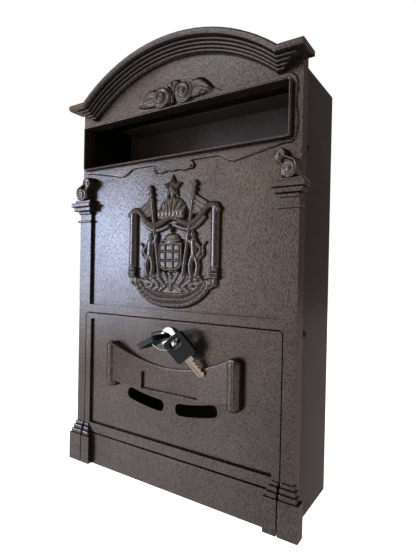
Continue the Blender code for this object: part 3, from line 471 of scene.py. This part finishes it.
def crest_height(x, z):
    """Heraldic composition that is the same on both sides of the centre line."""
    a = np.abs(x)
    layers = []
    star = []
    for i in range(10):
        reach = STAR_NOTCH if i % 2 else STAR_REACH
        angle = math.radians(90 + 36 * i)
        star.append((reach * math.cos(angle), STAR_Z + reach * math.sin(angle)))
    edge = inside_distance(x, z, star)
    layers.append(np.where(edge > 0, 2.0 + 0.8 * edge, -1))
    layers.append(roll(line_distance(x, z, [(0, 84), (0, 90)])[0], 2.4, 2.6))
    # Domed helm with ribs
    dome = 1 - (x / 16.0) ** 2 - ((z - 72) / 14.5) ** 2
    ribs = 0.45 * np.cos(math.tau * np.degrees(np.arctan2(x, np.maximum(z - 60, 1))) / 15)
    helm = 4.6 * np.sqrt(np.maximum(dome, 0)) + ribs + 0.4
    layers.append(np.where((dome > 0) & (z > 70), helm, -1))
    brow = pillow(np.minimum(15.8 - a, 4.4 - np.abs(z - 70.2)), 4.6, 1.4)
    panels = 0.7 * (np.abs(((a + 2.1) % 4.2) - 2.1) < 1.35) * (np.abs(z - 70.2) < 2.2)
    layers.append(brow + np.where(brow > 0, panels, 0))
    # Swag, rolled and tied
    swag = bezier([(0, 68), (6, 66.2), (13, 62.6), (20, 61), (28, 64), (35, 71), (40, 75.5),
                   (46, 75.6), (50, 72)])
    gap, along = line_distance(a, z, swag)
    layers.append(roll(gap, 3.3, 5.0) + np.where(gap < 3.3, 0.45 * np.cos(along * 150), 0))
    layers.append(roll(line_distance(a, z, bezier([(4, 60), (12, 57), (20, 56), (28, 59),
                                                   (36, 66)]))[0], 2.2, 3.2))
    # Hanging drapes, gathered in rings above a tassel
    for high, low, radius, top in ((74, 24, 4.9, 4.9), (13, 8, 3.3, 3.6)):
        line = [(DRAPE_X, high), (DRAPE_X, low)]
        layers.append(roll(line_distance(a, z, line)[0], radius, top))
    for level in (20.2, 16.9, 13.8):
        ring = [(DRAPE_X - 3.5, level), (DRAPE_X + 3.5, level)]
        layers.append(roll(line_distance(a, z, ring)[0], 1.9, 5.2))
    # Poles and pennants
    layers.append(roll(line_distance(a, z, [POLE_TOP, POLE_FOOT])[0], 2.4, 3.8))
    lean = (POLE_TOP[0] - POLE_FOOT[0]) / (POLE_TOP[1] - POLE_FOOT[1])
    for level in (95.5, 90.5, 85.5):
        x0 = POLE_TOP[0] - (POLE_TOP[1] - level) * lean
        band = [(x0 - 2.4, level - 0.3), (x0 + 2.4, level + 0.3)]
        layers.append(roll(line_distance(a, z, band)[0], 1.2, 4.6))
    pennant = inside_distance(a, z, [(23.5, 86), (27, 86.5), (41.5, 78), (31, 69), (22.5, 68)])
    creases = 0.5 * np.cos(math.tau * ((a - 22) * 0.5 + (z - 78) * 0.85) / 4.2)
    layers.append(pillow(pennant, 2.4, 1.2) + np.where(pennant > 0, creases, 0))
    # Shield with a plain grid
    shield = inside_distance(x, z, [(-13.4, 44.6), (13.4, 44.6), (13.6, 26), (12.0, 21.5),
                                    (8.0, 19.2), (0, 18.4), (-8.0, 19.2), (-12.0, 21.5),
                                    (-13.6, 26)])
    field = pillow(shield, 4.4, 0.9)
    seam = np.minimum(np.minimum(np.abs(z - 28.2), np.abs(z - 36.4)), np.abs(a - 4.4) + 0.15)
    field = field - 1.6 * np.exp(-(seam / 0.75) ** 2) * (shield > 2.4)
    field = field - 1.2 * np.exp(-((shield - 2.2) / 0.5) ** 2)
    layers.append(np.where(shield > 0, field, -1))
    cap = 1 - (x / 10.5) ** 2 - ((z - 45) / 8.5) ** 2
    layers.append(np.where((cap > 0) & (z > 44), 4.2 * np.sqrt(np.maximum(cap, 0)), -1))
    layers.append(roll(line_distance(a, z, [(0, 55.5), (0, 57)])[0], 2.0, 4.6))
    layers.append(roll(line_distance(a, z, [(0, 46.2), (10.8, 46.2)])[0], 1.3, 4.6))
    # Plain standing supporters
    limbs = [([(24.5, 45), (25.5, 33)], 4.6, 4.4), ([(24.0, 51), (24.0, 51.6)], 3.3, 4.2),
             ([(26.5, 33), (29.5, 24), (28.0, 15)], 3.1, 3.8),
             ([(24.0, 33), (21.5, 24), (22.8, 15)], 3.1, 4.0),
             ([(27.5, 44), (32.5, 38), (29.5, 32)], 2.1, 3.6),
             ([(22.0, 44), (18.0, 48), (17.0, 52)], 2.0, 3.8),
             ([(28.5, 14.2), (32.0, 13.6)], 1.8, 3.0), ([(22.4, 14.2), (18.6, 13.4)], 1.8, 3.2),
             ([(31.5, 30), (35.0, 34), (34.5, 41), (37.0, 44)], 1.3, 2.6)]
    for line, radius, top in limbs:
        layers.append(roll(line_distance(a, z, bezier(line, 4))[0], radius, top))
    # Foliage under the shield
    for x0, z0, x1, z1, radius in ((3, 9, 8, 17, 2.6), (9, 7, 15, 14, 2.6), (15, 6, 22, 11, 2.6),
                                   (21, 6, 29, 9.5, 2.4), (28, 6.5, 35, 10, 2.2),
                                   (6, 5, 12, 1.5, 2.2), (14, 4, 20, 1.0, 2.2),
                                   (22, 4, 28, 3.0, 2.0), (0, 14, 0, 3, 3.0)):
        gap, _ = line_distance(a, z, [(x0, z0), (x1, z1)])
        layers.append(roll(gap, radius, 3.6) - np.where(gap < 0.35, 0.5, 0))
    plate = inside_distance(a, z, [(-2, 18), (14, 18), (34, 13), (42, 9), (40, 4), (24, -2),
                                   (10, -5), (-2, -5)])
    layers.append(pillow(plate, 1.5, 1.5))
    # Mantle that sweeps under everything
    for line, radius, top in (
            ([(0, -12.2), (10, -12.2), (20, -10.2), (30, -5.5), (38, 1.5), (42, 9)], 3.0, 4.0),
            ([(0, -7.4), (10, -7.4), (19, -5.8), (28, -1.6), (35, 4), (38.5, 10)], 2.6, 3.4),
            ([(0, -3.0), (8, -3.0), (16, -2.0), (24, 1.2), (31, 5.5)], 2.2, 2.9)):
        gap, along = line_distance(a, z, bezier(line))
        layers.append(roll(gap, radius, top) + np.where(gap < radius, 0.3 * np.cos(along * 60), 0))
    layers.append(roll(line_distance(a, z, spiral((42.3, 8.5), 4.2, 1.2, -80, 1.3))[0], 1.5, 3.8))
    return highest(*layers)


def volute_height(x, z, centre, outer, start, turns, dish, rise, band):
    """Spiral ridge and domed eye that rise from a round dish."""
    gap, along = line_distance(x, z, spiral(centre, outer - band, 2.2, start, turns))
    reach = np.hypot(x - centre[0], z - centre[1])
    ground = np.where(reach < outer - 0.3, dish, -1.0)
    swell = np.sqrt(np.maximum(1 - (gap / band) ** 2, 0))
    ridge = np.where(gap < band, dish + rise * (0.8 + 0.3 * along) * swell, -1.0)
    dome = np.sqrt(np.maximum(1 - (reach / 3.0) ** 2, 0))
    eye = np.where(reach < 3.0, dish + rise * 1.25 * dome, -1.0)
    return highest(ground, ridge, eye)


def plaque_outline():
    """Right half of the shaped plate around the slot."""
    return [(0, 109.3), (6.7, 110.0), (13.4, 108.5), (18.6, 109.9), (20.4, 113.0), (19.6, 116.0),
            (23.0, 117.0), (46.9, 117.0), (50.8, 116.3), (54.8, 113.6), (58.8, 111.3),
            (63.6, 110.4), (68.3, 111.1), (77.4, 113.1), (86.4, 114.7), (99.3, 117.2), (107.6, 118.7),
            (113.3, 118.6), (116.4, 121.5), (118.3, 127.3), (118.7, 134.8), (118.4, 140.9),
            (117.0, 146.4), (116.9, 151.8), (118.0, 157.6), (118.2, 163.6), (117.0, 168.4),
            (113.0, 172.2), (108.0, 172.4), (50.0, 172.4), (45.0, 175.2), (42.0, 176.5),
            (37.0, 180.7), (29.0, 186.0), (18.0, 189.4), (7.0, 191.6), (0, 192.4)]


def surround_height(x, z):
    """Plaque with rolled rim, curls on its lower edge, and scrolls with leaves above the slot."""
    a = np.abs(x)
    half = plaque_outline()
    outline = half + [(-px, pz) for px, pz in reversed(half) if px > 0]
    edge = inside_distance(x, z, outline)
    layers = [pillow(edge, 1.9, 0.7)]
    for line, radius, top in (
            (spiral((20.2, 112.2), 3.0, 1.0, 100, -1.2), 1.0, 2.4),
            (bezier([(0, 110.2), (6.7, 111.0), (13.4, 109.6), (18, 110.8)]), 0.9, 2.3)):
        layers.append(roll(line_distance(a, z, line)[0], radius, top))
    # Two leaves sweep out from the scrolls
    leaf = inside_distance(a, z, bezier([(14, 170.0), (24, 169.8), (34, 170.6), (43.5, 173.2),
                                         (40.6, 178.6), (35.5, 184), (30, 187.8), (24, 188.8),
                                         (19, 186.5), (14, 181)], 4))
    vein = line_distance(a, z, bezier([(20, 178.5), (27, 180), (34, 178.4), (41.5, 174)]))[0]
    tongue = line_distance(a, z, bezier([(29.5, 171.6), (33.0, 175.4), (38.2, 173.4)]))[0]
    body = pillow(leaf, 5.0, 4.4)
    body = body - 1.1 * np.exp(-(vein / 0.9) ** 2) - 1.0 * np.exp(-(tongue / 0.7) ** 2)
    layers.append(np.where(leaf > 0, np.maximum(body, 0.6), -1))
    layers.append(volute_height(a, z, (12.6, 177.4), 9.6, 150, -1.2, 5.6, 2.2, 2.1))
    # Palmette between the scrolls
    petal = inside_distance(a, z, bezier([(0, 178), (4.0, 183.0), (8.4, 186.6), (7.4, 190.0),
                                          (3.4, 191.6), (0, 191.8)], 4) + [(-4, 191), (-4, 179)])
    layers.append(pillow(petal, 5.4, 3.6) - np.exp(-(a / 0.8) ** 2))
    layers.append(roll(line_distance(a, z, [(0, 171.5), (0, 176)])[0], 2.8, 5.8))
    shown = highest(*layers)
    slot = (a < COLLAR_HALF_WIDTH - 0.5) & (z > COLLAR_LOW + 0.1) & (z < COLLAR_HIGH - 0.4)
    return np.where(slot, -1.0, shown)


def scroll_height(x, z):
    """S-scroll on top of a pilaster's capital."""
    a = np.abs(x)
    layers = [volute_height(a, z, (114.7, 96.5), 6.6, 100, -1.15, 9.1, 1.5, 1.5),
              volute_height(a, z, (106.5, 108.0), 5.0, 300, -1.15, 8.1, 1.4, 1.2)]
    body = bezier([(118.8, 92.5), (120.6, 97.5), (119.2, 102.4), (114.6, 105.0), (111.2, 106.8),
                   (110.2, 110.4), (107.4, 112.4), (103.6, 111.4), (102.2, 108.4)])
    layers.append(roll(line_distance(a, z, body)[0], 1.9, 10.4))
    inner = bezier([(109.2, 92.2), (108.0, 96.5), (108.8, 101.0), (105.6, 103.6)])
    layers.append(roll(line_distance(a, z, inner)[0], 1.6, 8.6))
    return highest(*layers)


def ribbon_edges(x):
    """Lower and upper z of the name ribbon at x."""
    return -98.3 + x * x / 480.0, min(-70.5 + 0.004 * x * x, -52.8)


def ribbon_front(x, z):
    """Proud height of the ribbon: it swells to its ends, with a sunk field for the name card."""
    low, high = ribbon_edges(x)
    a = abs(x)
    card = min(31.7 - a, z + 93.2, -77.0 - z)
    if card > 0.2:
        return 0.98
    edge = min((min(z - low, high - z) + 0.15) / 1.2, 1.0)
    return 2.5 + 7.9 * min(a / 73.0, 1.0) ** 2.5 - 0.6 * (1 - edge) ** 2


# Operators

class PieceOperator:
    """Makes one piece or group of pieces from the scene's sizes."""
    bl_options = {"REGISTER", "UNDO"}

    def execute(self, context):
        self.make(context.scene.mailbox_sizes)
        return {"FINISHED"}


class MAILBOX_OT_steel_box(PieceOperator, bpy.types.Operator):
    """Sheet steel sleeve, back pan and the screws in the sides"""
    bl_idname = "mailbox.steel_box"
    bl_label = "Steel Box"

    def make(self, sizes):
        # The sleeve's paint is darkened as painted shade on its sides.
        dress("body_shell", "sheet_paint_darkened_as_shade", 0.3)
        # The back pan's thin coat is lightened as painted light falling in through the slot.
        dress("back_panel", "inner_paint_lightened_as_lit", 0.3)
        for side in ("left", "right"):
            for level in ("upper", "lower"):
                self.cross_recess("side_screw_%s_%s" % (side, level))

    def cross_recess(self, name):
        """Screw with a cross recess in its painted pan head."""
        # The screw heads take the sheet paint that is darkened as painted shade.
        source = dress(name, "sheet_paint_darkened_as_shade")
        low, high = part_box(name)
        sign = 1 if high[0] > 0 else -1
        outer = max(abs(low[0]), abs(high[0]))
        centre = Vector((sign * outer, (low[1] + high[1]) / 2, (low[2] + high[2]) / 2))
        mesh = source.data.copy()
        made = bpy.data.objects.new(name + "_cut", mesh)
        bpy.context.scene.collection.objects.link(made)
        depth, length, width = 2.0 * MM, 3.2 * MM, 0.7 * MM
        for size in ((depth, width, length), (depth, length, width)):
            body = bmesh.new()
            bmesh.ops.create_cube(body, size=1.0, matrix=Matrix.Translation(centre)
                                  @ Matrix.Diagonal((*size, 1)))
            blade = bpy.data.meshes.new(name + "_recess")
            body.to_mesh(blade)
            body.free()
            cutter = bpy.data.objects.new(blade.name, blade)
            bpy.context.scene.collection.objects.link(cutter)
            step = made.modifiers.new("Recess", "BOOLEAN")
            step.object = cutter
            step.solver = "EXACT"
            bake_modifiers(made)
            bpy.data.objects.remove(cutter, do_unlink=True)
        smooth(made)
        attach(made, "mailbox")
        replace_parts(made, name)


class MAILBOX_OT_front_casting(PieceOperator, bpy.types.Operator):
    """Cast front with arched cornice, pilasters and the scrolls on their capitals"""
    bl_idname = "mailbox.front_casting"
    bl_label = "Front Casting"

    def make(self, sizes):
        dress("front_frame", "cast_paint", 1.6 * sizes.edge_round / MM)
        for side, sign in (("left", -1), ("right", 1)):
            span = (100.0, 123.5) if sign > 0 else (-123.5, -100.0)
            # The scroll's paint is lightened as a painted highlight.
            relief("capital_scroll_" + side, scroll_height, span, (90.0, 114.0), "relief_paint_lightened_as_highlight",
                   "mailbox", "hammered_casting", 0.0)


class MAILBOX_OT_slot_surround(PieceOperator, bpy.types.Operator):
    """Collar of the mail slot with its plaque, scrolls and leaves"""
    bl_idname = "mailbox.slot_surround"
    bl_label = "Slot Surround"

    def make(self, sizes):
        plaque = relief("slot_plaque", surround_height, (-119.5, 119.5), (107.5, 193.0),
                        "cast_paint", "mailbox", "hammered_casting", 0.0)
        collar = self.collar()
        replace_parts(collar, "slot_surround")
        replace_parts(plaque, "slot_surround")

    def collar(self):
        """Rounded lip swept around the slot, and the lining behind it."""
        section = [(-1.0, -6.0), (-1.0, 6.2), (-0.7, 6.8), (0.0, 7.1), (0.7, 6.8), (1.0, 6.2),
                   (1.15, 5.0), (1.3, 1.5), (1.3, -0.4), (1.0, -6.0)]
        corners = [(COLLAR_HALF_WIDTH, COLLAR_LOW), (COLLAR_HALF_WIDTH, COLLAR_HIGH),
                   (-COLLAR_HALF_WIDTH, COLLAR_HIGH), (-COLLAR_HALF_WIDTH, COLLAR_LOW)]
        radius = 2.0
        path = []
        for (x, z), start in zip(corners, (-90, 0, 90, 180)):
            centre = (x - math.copysign(radius, x), z + (radius if z == COLLAR_LOW else -radius))
            for i in range(7):
                angle = math.radians(start + 15 * i)
                path.append((centre, (math.cos(angle), math.sin(angle))))
        verts = []
        for (cx, cz), (nx, nz) in path:
            for out, proud in section:
                reach = radius + out
                verts.append(((cx + nx * reach) * MM, -(FRONT_DEPTH + proud) * MM,
                              (cz + nz * reach) * MM))
        count = len(section)
        rings = len(path)
        faces = [(ring * count + k, ring * count + (k + 1) % count,
                  (ring + 1) % rings * count + (k + 1) % count, (ring + 1) % rings * count + k)
                 for ring in range(rings) for k in range(count)]
        made = new_piece("slot_collar", verts, faces, "cast_paint", "mailbox")
        smooth(made)
        return made


class MAILBOX_OT_crest(PieceOperator, bpy.types.Operator):
    """Cast coat of arms on the upper panel and its nuts"""
    bl_idname = "mailbox.crest"
    bl_label = "Crest"

    def make(self, sizes):
        # The crest's paint is lightened as a painted highlight.
        arms = relief("crest_relief", crest_height, (-53.0, 53.0), (-16.5, 107.0), "relief_paint_lightened_as_highlight",
                      "mailbox", "hammered_casting", 0.0)
        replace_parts(arms, "crest")
        for level in ("upper", "lower"):
            dress("crest_nut_" + level, "zinc", 0.3)


class MAILBOX_OT_door(PieceOperator, bpy.types.Operator):
    """Drop-down door with its name ribbon, rivets and hinge pins"""
    bl_idname = "mailbox.door"
    bl_label = "Door"

    def make(self, sizes):
        dress("door_panel", "cast_paint", sizes.edge_round / MM)
        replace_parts(self.ribbon(), "name_banner")
        for sign in (-1, 1):
            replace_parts(self.ribbon_roll(sign), "name_banner")
        for side in ("left", "right"):
            dress("banner_rivet_" + side, "zinc")
            dress("hinge_pin_" + side, "zinc", 0.2)

    def ribbon(self):
        """Ribbon whose ends swell out to meet the rolls, as a closed shell of columns."""
        columns = 200
        rows = 60
        grid = []
        for side in (0, 1):
            for i in range(columns + 1):
                x = RIBBON_HALF_LENGTH * (2 * i / columns - 1)
                low, high = ribbon_edges(x)
                for j in range(rows + 1):
                    z = low + (high - low) * j / rows
                    proud = RIBBON_SEAT if side else ribbon_front(x, z)
                    grid.append((x * MM, -(FRONT_DEPTH + proud) * MM, z * MM))
        stride = rows + 1
        back = (columns + 1) * stride
        faces = []
        for i in range(columns):
            for j in range(rows):
                a = i * stride + j
                faces.append((a, a + stride, a + stride + 1, a + 1))
                faces.append((back + a, back + a + 1, back + a + stride + 1, back + a + stride))
            for j in (0, rows):
                a = i * stride + j
                wall = (a, back + a, back + a + stride, a + stride)
                faces.append(wall if j == 0 else wall[::-1])
        for j in range(rows):
            for i in (0, columns):
                a = i * stride + j
                wall = (a, a + 1, back + a + 1, back + a)
                faces.append(wall if i == 0 else wall[::-1])
        made = new_piece("name_ribbon", grid, faces, "cast_paint", "door")
        smooth(made)
        return made

    def ribbon_roll(self, sign):
        """Rolled end of the ribbon: a bar with domed ends, flat where it meets the door."""
        arc = [math.radians(90 * i / 8) for i in range(9)]
        groove = ROLL_HIGH - ROLL_GROOVE_BELOW_TOP
        profile = [(ROLL_RADIUS * math.cos(angle), ROLL_HIGH - ROLL_DOME * (1 - math.sin(angle)))
                   for angle in reversed(arc)]
        profile += [(ROLL_RADIUS, groove + 0.5), (ROLL_RADIUS * 0.985, groove),
                    (ROLL_RADIUS, groove - 0.5)]
        profile += [(ROLL_RADIUS * math.cos(angle), ROLL_LOW + ROLL_DOME * (1 - math.sin(angle)))
                    for angle in arc]
        steps = 40
        verts = []
        for reach, z in profile:
            for k in range(steps):
                angle = math.tau * k / steps
                proud = max(ROLL_PROUD + reach * math.sin(angle), RIBBON_SEAT)
                verts.append(((ROLL_X * sign + reach * math.cos(angle)) * MM,
                              -(FRONT_DEPTH + proud) * MM, z * MM))
        faces = []
        for row in range(len(profile) - 1):
            for k in range(steps):
                a = row * steps + k
                b = row * steps + (k + 1) % steps
                faces.append((a, b, b + steps, a + steps))
        side = "right" if sign > 0 else "left"
        return new_piece("ribbon_roll_" + side, verts, faces, "cast_paint", "door")


class MAILBOX_OT_lock(PieceOperator, bpy.types.Operator):
    """Cam lock with nut, plug, cam and cam screw"""
    bl_idname = "mailbox.lock"
    bl_label = "Lock"

    def make(self, sizes):
        dress("lock_body", "chrome", 0.2)
        dress("lock_plug", "chrome", 0.2)
        dress("lock_nut", "zinc", 0.4)
        dress("lock_cam", "zinc", 0.3)
        dress("cam_screw", "zinc", 0.2)


class MAILBOX_OT_keys(PieceOperator, bpy.types.Operator):
    """Two keys with moulded bows, and the ring that joins them"""
    bl_idname = "mailbox.keys"
    bl_label = "Keys"

    def make(self, sizes):
        for number in (1, 2):
            dress("key_%d_head" % number, "plastic", 0.7)
            dress("key_%d_blade" % number, "nickel_silver", 0.25)
        dress("key_ring", "spring_steel")


class MAILBOX_OT_stage(PieceOperator, bpy.types.Operator):
    """Floor, soft studio light and camera"""
    bl_idname = "mailbox.stage"
    bl_label = "Stage"

    def make(self, sizes):
        self.floor()
        for light in LIGHTS:
            self.light(*light)
        self.world()
        self.camera()
        bpy.context.scene.view_settings.view_transform = "Standard"

    def floor(self):
        """Pale floor that glows where it meets the backdrop."""
        mesh = bpy.data.meshes.new("floor")
        reach = FLOOR_REACH
        level = CAD_BOX[0][2] - FLOOR_DROP
        mesh.from_pydata([(-reach, -reach, level), (reach, -reach, level), (reach, reach, level),
                          (-reach, reach, level)], [], [(0, 1, 2, 3)])
        made = bpy.data.objects.new("floor", mesh)
        bpy.context.scene.collection.objects.link(made)
        material, tree, shader = new_material("matt_paper_floor")
        shader.inputs["Base Color"].default_value = (*bpy.context.scene.mailbox_colours.floor, 1)
        shader.inputs["Roughness"].default_value = 0.9
        shader.inputs["Emission Color"].default_value = (1, 1, 1, 1)
        place = node(tree, "ShaderNodeTexCoord").outputs["Object"]
        toward = node(tree, "ShaderNodeVectorMath", {"operation": "DOT_PRODUCT"})
        tree.links.new(place, toward.inputs[0])
        toward.inputs[1].default_value = BACKDROP
        glow = node(tree, "ShaderNodeMapRange", {"interpolation_type": "SMOOTHSTEP"},
                    Value=toward.outputs["Value"], From_Min=-0.2, From_Max=0.1,
                    To_Min=0.1, To_Max=0.75)
        tree.links.new(glow.outputs["Result"], shader.inputs["Emission Strength"])
        mesh.materials.append(material)

    def light(self, name, place, size, power, colour):
        """Rectangular softbox that faces the mailbox."""
        data = bpy.data.lights.new(name, "AREA")
        data.shape = "RECTANGLE"
        data.size, data.size_y = size
        data.energy = power
        data.color = linear(colour)
        made = bpy.data.objects.new(name, data)
        made.location = place
        aim = Vector(LIGHT_TARGET) - Vector(place)
        made.rotation_euler = aim.to_track_quat("-Z", "Y").to_euler()
        bpy.context.scene.collection.objects.link(made)

    def world(self):
        """White backdrop behind the mailbox that falls off to a dimmer studio in front."""
        world = bpy.data.worlds.new("white_studio")
        world.use_nodes = True
        tree = world.node_tree
        toward = node(tree, "ShaderNodeVectorMath", {"operation": "DOT_PRODUCT"})
        tree.links.new(node(tree, "ShaderNodeTexCoord").outputs["Generated"], toward.inputs[0])
        toward.inputs[1].default_value = BACKDROP
        fade = node(tree, "ShaderNodeMapRange", {"interpolation_type": "SMOOTHSTEP"},
                    Value=toward.outputs["Value"], From_Min=0.1, From_Max=0.44,
                    To_Min=0.36, To_Max=1.03)
        tree.links.new(fade.outputs["Result"], tree.nodes["Background"].inputs["Strength"])
        tree.nodes["Background"].inputs["Color"].default_value = (1, 1, 1, 1)
        bpy.context.scene.world = world

    def camera(self):
        """Camera in front of the right side, turned in to face the mailbox."""
        data = bpy.data.cameras.new("camera")
        data.sensor_width = 36.0
        data.lens = CAMERA_LENS
        made = bpy.data.objects.new("camera", data)
        ahead = Vector((math.sin(CAMERA_YAW) * math.cos(CAMERA_PITCH),
                        math.cos(CAMERA_YAW) * math.cos(CAMERA_PITCH), math.sin(CAMERA_PITCH)))
        right = Vector((math.cos(CAMERA_YAW), -math.sin(CAMERA_YAW), 0))
        up = right.cross(ahead)
        tilted_right = right * math.cos(CAMERA_TILT) + up * math.sin(CAMERA_TILT)
        tilted_up = up * math.cos(CAMERA_TILT) - right * math.sin(CAMERA_TILT)
        turn = Matrix((tilted_right, tilted_up, -ahead)).transposed().to_4x4()
        made.matrix_world = Matrix.Translation(CAMERA_PLACE) @ turn
        bpy.context.scene.collection.objects.link(made)
        bpy.context.scene.camera = made


PIECES = (MAILBOX_OT_steel_box, MAILBOX_OT_front_casting, MAILBOX_OT_slot_surround,
          MAILBOX_OT_crest, MAILBOX_OT_door, MAILBOX_OT_lock, MAILBOX_OT_keys, MAILBOX_OT_stage)


class MAILBOX_PT_panel(bpy.types.Panel):
    """Lists the mailbox's sizes, colours and pieces"""
    bl_idname = "MAILBOX_PT_panel"
    bl_label = "Wall Mailbox"
    bl_space_type = "VIEW_3D"
    bl_region_type = "UI"
    bl_category = "Mailbox"

    def draw(self, context):
        layout = self.layout
        for group in (context.scene.mailbox_sizes, context.scene.mailbox_colours):
            for name in group.__annotations__:
                layout.prop(group, name)
        for piece in PIECES:
            layout.operator(piece.bl_idname)


CLASSES = (MailboxSizes, MailboxColours, *PIECES, MAILBOX_PT_panel)


def register():
    for item in CLASSES:
        bpy.utils.register_class(item)
    bpy.types.Scene.mailbox_sizes = PointerProperty(type=MailboxSizes)
    bpy.types.Scene.mailbox_colours = PointerProperty(type=MailboxColours)


def unregister():
    del bpy.types.Scene.mailbox_colours
    del bpy.types.Scene.mailbox_sizes
    for item in reversed(CLASSES):
        bpy.utils.unregister_class(item)


def main():
    register()
    for piece in PIECES:
        group, name = piece.bl_idname.split(".")
        getattr(getattr(bpy.ops, group), name)()


if __name__ == "__main__":
    main()
